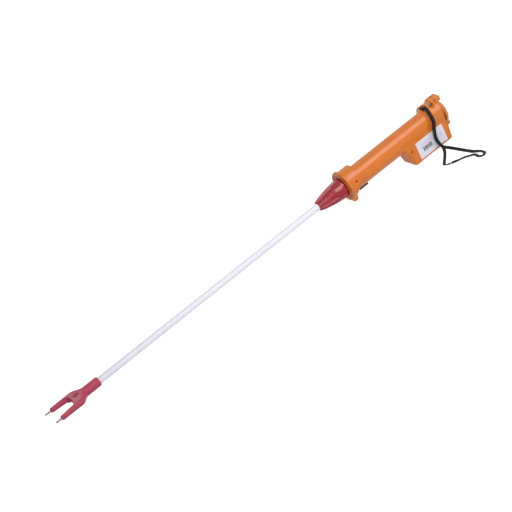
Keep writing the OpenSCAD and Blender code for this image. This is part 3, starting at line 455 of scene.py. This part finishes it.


# Painted shade: the shell is darkened round its three screw recesses, where shade falls
shellShadeAndJoints = {
    "darkening": (74, 34, 14),
    "spots": [
        ((15.6, -19.0, 6.0), 1.5, 2.3, 0.9),
        ((131.5, -15.0, -19.1), 1.6, 2.4, 0.9),
        ((204.0, -7.6, 24.0), 3.3, 4.1, 0.85),
    ],
    # The end cap's joint is a dark joint widened into painted shade of its gap; the line between
    # the halves is a dark joint
    "seams": [
        ((1.0, 0.0, 0.0), (214.1, 0.0, 0.0), 1.5, 0.95),
        ((0.0, 1.0, 0.0), (0.0, 0.0, 0.0), 0.22, 0.6),
    ],
}
plasticSettings = {
    "orangeShell": {
        "base": (215, 116, 22), "shade": (209, 110, 18), "mark": (232, 156, 90),
        "markAmount": 0.12, "toneScale": 14.0, "grainScale": 1500.0, "flow": 0.2, "marks": 0.42,
        "rough": 0.2, "roughSpread": 0.08, "bump": 0.06, "bumpDepth": 0.0001, **shellShadeAndJoints,
    },
    "crimsonFork": {
        "base": (184, 56, 86), "shade": (172, 44, 74), "mark": (206, 110, 128),
        "markAmount": 0.25, "toneScale": 30.0, "grainScale": 1300.0, "flow": 0.2, "marks": 0.5,
        "rough": 0.4, "roughSpread": 0.14, "bump": 0.16, "bumpDepth": 0.00014,
        "darkening": (92, 0, 14),
        # Painted shade: darker in the shallow dish by the hole, and a dark ring that makes the hole
        # look wider
        "spots": [((-562.0, 3.5, 5.0), 1.0, 6.5, 0.5), ((-560.0, 0.0, 4.0), 2.3, 3.1, 1.0)],
    },
    "crimsonNut": {
        "base": (162, 10, 34), "shade": (150, 8, 30), "mark": (206, 100, 120),
        "markAmount": 0.12, "toneScale": 26.0, "grainScale": 1100.0, "flow": 0.1, "marks": 0.4,
        "rough": 0.1, "roughSpread": 0.06, "bump": 0.02, "bumpDepth": 0.0001,
    },
    "whiteRod": {
        "base": (236, 235, 245), "shade": (229, 228, 240), "mark": (198, 192, 204),
        "markAmount": 0.35, "toneScale": 9.0, "grainScale": 900.0, "flow": 0.8, "marks": 0.38,
        "rough": 0.3, "roughSpread": 0.1, "bump": 0.03, "bumpDepth": 0.0001,
    },
    "blackPlastic": {
        "base": (38, 38, 42), "shade": (30, 30, 34), "mark": (96, 96, 100), "markAmount": 0.3,
        "toneScale": 40.0, "grainScale": 1400.0, "flow": 0.2, "marks": 0.5, "rough": 0.42,
        "roughSpread": 0.16, "bump": 0.2, "bumpDepth": 0.00014,
    },
    "sealRubber": {
        "base": (34, 32, 34), "shade": (26, 25, 27), "mark": (70, 68, 70), "markAmount": 0.2,
        "toneScale": 60.0, "grainScale": 2200.0, "flow": 0.1, "marks": 0.4, "rough": 0.62,
        "roughSpread": 0.14, "bump": 0.25, "bumpDepth": 0.0001,
    },
    "redInsulation": {
        "base": (176, 34, 30), "shade": (160, 28, 26), "mark": (210, 110, 100),
        "markAmount": 0.15, "toneScale": 60.0, "grainScale": 1600.0, "flow": 0.6, "marks": 0.4,
        "rough": 0.36, "roughSpread": 0.12, "bump": 0.08, "bumpDepth": 0.0001,
    },
    "pottingResin": {
        "base": (40, 40, 46), "shade": (30, 30, 36), "mark": (90, 90, 96), "markAmount": 0.1,
        "toneScale": 30.0, "grainScale": 500.0, "flow": 0.1, "marks": 0.35, "rough": 0.2,
        "roughSpread": 0.2, "bump": 0.12, "bumpDepth": 0.0003,
    },
    "boardLacquer": {
        "base": (30, 104, 60), "shade": (24, 88, 50), "mark": (70, 150, 100), "markAmount": 0.15,
        "toneScale": 90.0, "grainScale": 1200.0, "flow": 0.1, "marks": 0.4, "rough": 0.25,
        "roughSpread": 0.1, "bump": 0.08, "bumpDepth": 0.0001,
    },
    "capacitorSleeve": {
        "base": (36, 62, 136), "shade": (28, 52, 120), "mark": (100, 120, 170),
        "markAmount": 0.15, "toneScale": 70.0, "grainScale": 1200.0, "flow": 0.3, "marks": 0.4,
        "rough": 0.28, "roughSpread": 0.12, "bump": 0.06, "bumpDepth": 0.0001,
    },
    "cellJacket": {
        "base": (54, 58, 64), "shade": (44, 48, 54), "mark": (120, 124, 130), "markAmount": 0.2,
        "toneScale": 50.0, "grainScale": 900.0, "flow": 0.2, "marks": 0.45, "rough": 0.3,
        "roughSpread": 0.12, "bump": 0.05, "bumpDepth": 0.0001,
    },
}
metalSettings = {
    "electrodeMetal": {
        "base": (176, 170, 166), "shade": (124, 114, 108), "stretch": (60.0, 1200.0, 1200.0),
        "rough": 0.3, "roughSpread": 0.2, "bump": 0.2, "metallic": 0.9, "darkening": (44, 38, 36),
        # The electrode tips are darker
        "spots": [((-611.5, side * 19.0, 0.0), 1.0, 4.2, 0.9) for side in (-1, 1)],
    },
    "screwSteel": {
        "base": (186, 186, 190), "shade": (150, 148, 150), "stretch": (900.0, 60.0, 900.0),
        "rough": 0.28, "roughSpread": 0.16, "bump": 0.15,
    },
    "shellScrewSteel": {
        "base": (196, 196, 200), "shade": (158, 156, 158), "stretch": (900.0, 60.0, 900.0),
        "rough": 0.26, "roughSpread": 0.14, "bump": 0.15, "darkening": (40, 26, 18),
        # Painted shade: the two screws deep in their recesses are darkened
        "spots": [((15.6, -19.0, 6.0), 1.6, 3.0, 0.85), ((131.5, -14.0, -19.1), 1.6, 3.0, 0.85)],
    },
    "darkScrew": {
        "base": (56, 50, 52), "shade": (40, 36, 38), "stretch": (900.0, 900.0, 60.0),
        "rough": 0.4, "roughSpread": 0.16, "bump": 0.15,
    },
    "springSteel": {
        "base": (172, 174, 178), "shade": (138, 138, 142), "stretch": (700.0, 700.0, 120.0),
        "rough": 0.26, "roughSpread": 0.14, "bump": 0.1,
    },
    "contactBrass": {
        "base": (206, 170, 92), "shade": (176, 136, 64), "stretch": (80.0, 900.0, 900.0),
        "rough": 0.28, "roughSpread": 0.16, "bump": 0.12,
    },
    "windingWire": {
        "base": (188, 106, 58), "shade": (156, 82, 42), "stretch": (120.0, 120.0, 2600.0),
        "rough": 0.3, "roughSpread": 0.1, "bump": 0.5,
    },
}
materials = {name: plastic(name, s) for name, s in plasticSettings.items()}
materials.update({name: metal(name, s) for name, s in metalSettings.items()})

nodeFinish = {
    "orangeShell": ["shell_left", "shell_right", "end_cap", "battery_door"],
    "crimsonFork": ["fork_head"],
    "crimsonNut": ["nose_nut"],
    "whiteRod": ["shaft_tube", "switch_plunger"],
    "blackPlastic": ["collet", "shaft_socket", "shaft_plug", "trigger_button", "switch_body",
                     "battery_tray"],
    "sealRubber": ["nose_seal"],
    "redInsulation": ["fork_wires", "shaft_wires", "hv_leads", "battery_leads"],
    "pottingResin": ["hv_module"],
    "boardLacquer": ["circuit_board"],
    "capacitorSleeve": ["storage_capacitor"],
    "cellJacket": ["cell_1", "cell_2", "cell_3", "cell_4"],
    "electrodeMetal": ["electrode_left", "electrode_right"],
    "screwSteel": ["cap_screws", "door_hinge_pin"],
    "shellScrewSteel": ["shell_screws"],
    "darkScrew": ["fork_screw", "strap_pin"],
    "springSteel": ["trigger_spring", "switch_lever", "battery_contacts"],
    "contactBrass": ["plug_contacts", "socket_contacts"],
    "windingWire": ["choke_coil"],
}
for finish, names in nodeFinish.items():
    for name in names:
        piece = nodes[name]
        for slot in piece.material_slots:
            slot.material = materials[finish]
        if not piece.material_slots:
            piece.data.materials.append(materials[finish])
print("finishes set")


# Wrist strap: one flat woven band

strapSettings = {
    "width": 5.4,
    "thick": 1.4,
    "perSpan": 7,
    "sides": 20,
    "widePower": 0.35,
    "thickPower": 0.6,
    "base": (7, 7, 8),
    "light": (24, 24, 27),
    "roughness": 0.75,
    "specular": 0.3,
    "sheen": 0.05,
    "sheenRoughness": 0.5,
    "bump": 0.7,
    "bumpDepth": 0.00018,
    "pick": 0.0011,
    "route": [
        [191.2, -2, 23.6, 0, 0, 1], [191.6, -5.2, 24.2, 0, -1, 4], [191.4, -8.8, 26.2, 0, -1, 3],
        [190.6, -13.8, 23.7, 0, -2, 3], [189.4, -18.2, 20, 0, -1, 1], [188.2, -22, 15.4, 0, -3, 2],
        [187.2, -24.8, 9.2, 0, -3, 1], [185.6, -26, 3, 0, -1, 0], [182.6, -25, -6, 0, -1, 0],
        [180.4, -24, -16, 0, -1, 0], [179.4, -23.4, -25, 0, -1, 0], [180.6, -23.6, -34, 0, -1, 0],
        [182.4, -25.4, -40.6, 0, -3, 1], [184, -30, -43.6, -1, -1, 2], [186, -40, -44, -3, 0, 4],
        [188, -55, -44, -3, 0, 4], [190.4, -75, -44, -3, 0, 4], [193, -95, -43.6, -2, 0, 4],
        [196, -104, -43, -1, 0, 4], [200.4, -109, -45.2, 0, 0, 1], [200, -117, -45.4, 0, 0, 1],
        [194, -121.4, -45.4, 0, 0, 1], [188.6, -116, -45.4, 0, 0, 1], [189.4, -108, -45.4, 0, 0, 1],
        [188.4, -102, -45.4, 0, 0, 1], [183, -96, -45.4, 0, 0, 1], [176, -90, -45.4, 0, 0, 1],
        [167, -86, -45, 0, 0, 1], [160, -83.4, -44, 1, -1, 3], [154, -81, -43.6, 2, 0, 1],
        [149.4, -76, -44, 1, 1, 2], [150, -69, -45, 0, 0, 1], [157, -61, -45.2, 0, 0, 1],
        [168, -49, -45.2, 0, 0, 1], [177, -38, -44.8, 0, 0, 1], [181, -30.6, -42.4, 0, -1, 1],
        [181, -27.6, -38.6, 0, -3, 1], [179.6, -26.4, -32, 0, -1, 0], [179, -26, -24, 0, -1, 0],
        [180, -26.6, -15, 0, -1, 0], [182.4, -27.6, -6, 0, -1, 0], [185.4, -28.6, 2, 0, -1, 0],
        [187.4, -27.4, 9.4, 0, -3, 1], [188.4, -24, 16.2, 0, -3, 2], [189.6, -19.8, 21.4, 0, -1, 1],
        [190.8, -14.8, 25.2, 0, -2, 3], [191.4, -9.4, 27.6, 0, -1, 3], [191.6, -5.4, 26.8, 0, 1, 4],
        [191.4, -2.2, 25.4, 0, 1, 2],
    ],
}


def webbingMaterial(s):
    material, tree, shader = startMaterial("strapWebbing")
    weave = useGroup(tree, webbingGroup, {"Pick": s["pick"]})
    color = mixColors(tree, weave.outputs["Shade"], linear(s["base"]), linear(s["light"]))
    tree.links.new(color, shader.inputs["Base Color"])
    shader.inputs["Roughness"].default_value = s["roughness"]
    shader.inputs["Specular IOR Level"].default_value = s["specular"]
    shader.inputs["Sheen Weight"].default_value = s["sheen"]
    shader.inputs["Sheen Roughness"].default_value = s["sheenRoughness"]
    addBump(tree, shader, weave.outputs["Height"], s["bump"], s["bumpDepth"])
    return material


def buildStrap(s):
    # The route's rows give a point in mm and the way the band's flat face looks there;
    # the section is a flattened superellipse, its powers set apart for width and thickness
    both = smoothPath(np.array(s["route"], dtype=float), s["perSpan"])
    line = placed(both[:, :3])
    ahead = unitRows(np.gradient(line, axis=0))
    side = unitRows(np.cross(ahead, unitRows(both[:, 3:])))
    up = np.cross(side, ahead)
    angle = np.linspace(0, 2 * math.pi, s["sides"], endpoint=False)
    c, d = np.cos(angle), np.sin(angle)
    wide = np.sign(c) * np.abs(c) ** s["widePower"] * s["width"] / 2 * mm
    high = np.sign(d) * np.abs(d) ** s["thickPower"] * s["thick"] / 2 * mm
    across = side[:, None] * wide[None, :, None]
    grid = line[:, None] + across + up[:, None] * high[None, :, None]
    run = np.concatenate([[0], np.cumsum(np.linalg.norm(np.diff(line, axis=0), axis=1))])
    # The ring is turned round so that the faces look outward, and the map with it
    uv = np.stack(np.broadcast_arrays(run[:, None], wide[::-1][None]), axis=-1)
    mesh = cappedTube("strapBand", grid[:, ::-1], uv)
    strap = addPiece("strapBand", mesh, webbingMaterial(s), "handle")
    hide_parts("wrist_strap")
    print("strap length", round(float(run[-1]), 4))


buildStrap(strapSettings)


# Trigger spring: a wire coil

springSettings = {
    "turns": 6,
    "wire": 0.35,
    "travel": 3.0,
    "stepsPerTurn": 28,
    "sides": 10,
}


def buildSpring(s):
    # A point turns round the spring's axis and climbs evenly, with a ring of wire round it
    low, high = (np.array(v, dtype=float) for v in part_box("trigger_spring"))
    wire = s["wire"] * mm
    middle = (low + high) / 2
    radius = (high[1] - low[1]) / 2 - wire
    angle = np.linspace(0, 2 * math.pi * s["turns"], s["turns"] * s["stepsPerTurn"] + 1)
    climb = np.linspace(low[2] + wire, high[2] - wire, len(angle))
    outward = np.stack([np.cos(angle), np.sin(angle), np.zeros_like(angle)], axis=-1)
    coil = middle[:2] + radius * outward[:, :2]
    line = np.column_stack([coil, climb])
    ring = np.linspace(0, 2 * math.pi, s["sides"], endpoint=False)[None, :, None]
    upward = np.array([0.0, 0.0, 1.0])
    grid = line[:, None] + wire * (np.cos(ring) * outward[:, None] - np.sin(ring) * upward)
    mesh = cappedTube("triggerCoil", grid)
    spring = addPiece("triggerCoil", mesh, materials["springSteel"], "handle")
    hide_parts("trigger_spring")
    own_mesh(spring)


buildSpring(springSettings)
print("spring made")


# Paper label on the housing's left side, with plain rules and bars that carry no words

labelSettings = {
    "front": 142.3,
    "back": 202.1,
    "low": -42.3,
    "high": -10.9,
    "side": -19.0,
    "thick": 0.12,
    "gap": 0.01,
    "paper": (226, 226, 238),
    "fibreDrop": 8,
    "ink": (34, 33, 40),
    "roughness": 0.45,
    "bump": 0.1,
    "bumpDepth": 0.00005,
    "barWaves": (210.0, 133.0),
    "barLevel": -0.55,
    "barAreas": [(0.18, 0.5, 0.3, 0.55)],
    "barShare": 0.9,
    "ruleWave": 110.0,
    "ruleLevel": 0.55,
    "ruleAreas": [(0.14, 0.56, 0.62, 0.8), (0.66, 0.9, 0.36, 0.66)],
    "ruleShare": 0.55,
    "broken": {"Scale": 55.0, "Detail": 1.0},
    "brokenLevel": 0.45,
    "fibre": {"Scale": 1400.0, "Detail": 3.0},
}


def labelMaterial(s):
    material, tree, shader = startMaterial("paperLabel")
    place = addNode(tree, "ShaderNodeTexCoord")
    split = addNode(tree, "ShaderNodeSeparateXYZ")
    tree.links.new(place.outputs["UV"], split.inputs[0])
    u, v = split.outputs["X"], split.outputs["Y"]

    def product(a, b):
        return mathNode(tree, "MULTIPLY", a, b)

    def above(value, level):
        return mathNode(tree, "GREATER_THAN", value, level)

    def wave(value, speed):
        return mathNode(tree, "SINE", product(value, speed))

    def inside(value, low, high):
        return product(above(value, low), mathNode(tree, "LESS_THAN", value, high))

    def areas(boxes):
        # Each box is its low and high edge along the label, then its low and high edge up it
        total = None
        for left, right, bottom, top in boxes:
            box = product(inside(u, left, right), inside(v, bottom, top))
            total = box if total is None else mathNode(tree, "MAXIMUM", total, box)
        return total

    # Upright bars of uneven width: where the sum of a faster and a slower wave is above a level
    fast, slow = (wave(u, speed) for speed in s["barWaves"])
    bars = above(mathNode(tree, "ADD", fast, slow), s["barLevel"])
    barMask = product(bars, areas(s["barAreas"]))
    # Thin broken rules where small print would stand
    rules = product(above(wave(v, s["ruleWave"]), s["ruleLevel"]), areas(s["ruleAreas"]))
    broken = addNoise(tree, place.outputs["UV"], s["broken"]).outputs["Fac"]
    ruleMask = product(rules, above(broken, s["brokenLevel"]))
    barInk = product(barMask, s["barShare"])
    ink = mathNode(tree, "MAXIMUM", barInk, product(ruleMask, s["ruleShare"]))
    fibre = addNoise(tree, place.outputs["Object"], s["fibre"]).outputs["Fac"]
    darker = [c - s["fibreDrop"] for c in s["paper"]]
    paper = mixColors(tree, fibre, linear(s["paper"]), linear(darker))
    tree.links.new(mixColors(tree, ink, paper, linear(s["ink"])), shader.inputs["Base Color"])
    shader.inputs["Roughness"].default_value = s["roughness"]
    addBump(tree, shader, fibre, s["bump"], s["bumpDepth"])
    return material


def buildLabel(s):
    # A thin closed slab: front sheet, back sheet and the four edges between them
    x = np.array([s["front"], s["back"]])
    z = np.array([s["low"], s["high"]])
    ys = [s["side"] - s["thick"], s["side"] - s["gap"]]
    corners = [(x[0], z[0]), (x[1], z[0]), (x[1], z[1]), (x[0], z[1])]
    points = placed([(a, y, b) for y in ys for a, b in corners])
    edges = [(k, k + 4, (k + 1) % 4 + 4, (k + 1) % 4) for k in range(4)]
    polys = [(0, 1, 2, 3), (7, 6, 5, 4)] + edges
    mesh = bpy.data.meshes.new("paperLabel")
    mesh.from_pydata(points.tolist(), [], polys)
    layer = mesh.uv_layers.new(name="along")
    uvs = [(0, 0), (1, 0), (1, 1), (0, 1)] * 2
    loops = np.array([uvs[v] for p in polys for v in p], dtype=np.float32)
    layer.data.foreach_set("uv", loops.ravel())
    mesh.validate()
    label = addPiece("paperLabel", mesh, labelMaterial(s), "handle")


buildLabel(labelSettings)
print("label made")


# Floor, lights and world

stageSettings = {
    "reach": 8.0,
    "floor": (236, 236, 238),
    "floorRoughness": 0.9,
    "floorSpecular": 0.1,
    "floorGlow": 0.68,
    "floorGloss": 0.2,
    "worldDiffuse": 0.32,
    "lamps": [
        {"name": "handleBox", "place": (0.81, -0.615, 1.07), "aim": (0.30, 0.0, 0.05),
         "size": (0.36, 0.84), "power": 3.6},
        {"name": "noseBox", "place": (0.25, -0.86, 1.02), "aim": (0.25, 0.0, 0.05),
         "size": (0.75, 0.7), "power": 8.0},
        {"name": "fill", "place": (-0.6, -2.3, 0.7), "aim": (0.0, 0.0, 0.05),
         "size": (1.4, 1.0), "power": 7.0},
        {"name": "back", "place": (0.2, 2.1, 1.3), "aim": (0.0, 0.0, 0.05),
         "size": (1.6, 1.0), "power": 8.0},
    ],
}


def addLamp(s):
    data = bpy.data.lights.new(s["name"], "AREA")
    data.shape = "RECTANGLE"
    data.size, data.size_y = s["size"]
    data.energy = s["power"]
    lamp = bpy.data.objects.new(s["name"], data)
    lamp.location = s["place"]
    # The lamp shines along its own -z; its x lies along the prod as far as the aim allows
    back = unitRows(np.array(s["place"], dtype=float) - np.array(s["aim"], dtype=float))
    along = unitRows(np.array([1.0, 0.0, 0.0]) - back[0] * back)
    axes = np.stack([along, np.cross(back, along), back], axis=1)
    lamp.rotation_euler = Matrix(axes.tolist()).to_euler()
    bpy.context.scene.collection.objects.link(lamp)


def rayShare(tree, camera, gloss, other):
    # One value for camera rays, one for gloss and transmission rays, and one for diffuse light
    path = tree.nodes.new("ShaderNodeLightPath")
    shiny = mathNode(tree, "MAXIMUM", path.outputs["Is Glossy Ray"],
                     path.outputs["Is Transmission Ray"])
    indirect = rangeNode(tree, shiny, 0.0, 1.0, other, gloss)
    seen = mathNode(tree, "MULTIPLY", path.outputs["Is Camera Ray"], camera)
    return mathNode(tree, "MAXIMUM", seen, indirect)


def addFloor(s):
    r = s["reach"]
    mesh = bpy.data.meshes.new("floor")
    mesh.from_pydata([(-r, -r, 0), (r, -r, 0), (r, r, 0), (-r, r, 0)], [], [(0, 1, 2, 3)])
    floor = bpy.data.objects.new("floor", mesh)
    bpy.context.scene.collection.objects.link(floor)
    material, tree, shader = startMaterial("floorSweep")
    shader.inputs["Base Color"].default_value = linear(s["floor"])
    shader.inputs["Roughness"].default_value = s["floorRoughness"]
    shader.inputs["Specular IOR Level"].default_value = s["floorSpecular"]
    # The glow whitens the floor to the eye, dimly to gloss, and adds no light to the object
    glow = rayShare(tree, s["floorGlow"], s["floorGloss"], 0.0)
    tree.links.new(glow, shader.inputs["Emission Color"])
    shader.inputs["Emission Strength"].default_value = 1.0
    mesh.materials.append(material)


def addWorld(s):
    # White to camera, gloss and transmission rays, and a soft even light to the rest
    world = bpy.data.worlds.new("studio")
    bpy.context.scene.world = world
    world.use_nodes = True
    tree = world.node_tree
    back = tree.nodes["Background"]
    back.inputs["Color"].default_value = (1, 1, 1, 1)
    tree.links.new(rayShare(tree, 1.0, 1.0, s["worldDiffuse"]), back.inputs["Strength"])


addFloor(stageSettings)
addWorld(stageSettings)
for lampSettings in stageSettings["lamps"]:
    addLamp(lampSettings)
bpy.context.scene.view_settings.view_transform = "Standard"
print("stage set")
